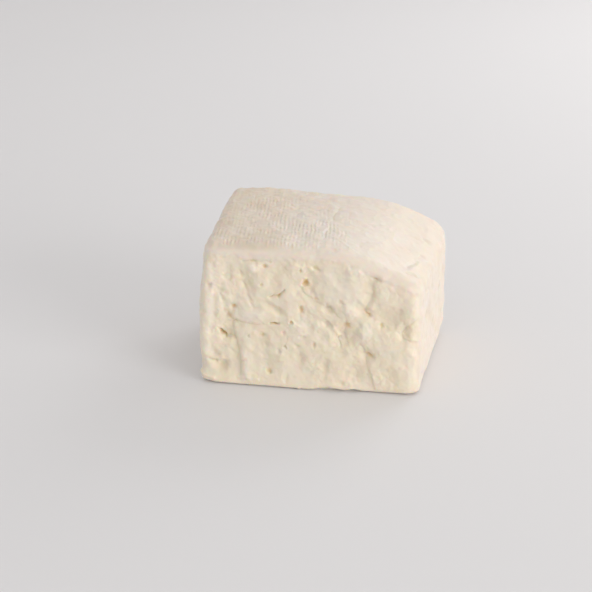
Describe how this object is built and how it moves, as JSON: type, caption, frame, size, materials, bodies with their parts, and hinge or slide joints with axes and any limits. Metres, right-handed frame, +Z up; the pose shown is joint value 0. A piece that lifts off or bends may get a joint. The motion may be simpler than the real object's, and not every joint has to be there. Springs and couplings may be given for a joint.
{
  "type": "feta block",
  "caption": "Rectangular block of moist white feta with one long cut face of pits, crags and ribs, a smooth domed top that slopes down to the right, and a flat foot.",
  "frame": {"origin": "middle of the footprint, on the plane the block rests on", "axes": "+X along the block's long side towards the end where the top slopes down, -Y out of the craggy cut face, +Z up"},
  "size_m": [0.101, 0.0768, 0.0657],
  "materials": {
    "feta": "moist satin, cream white"
  },
  "bodies": {
    "root": {"feta_block": "feta"}
  },
  "joints": []
}
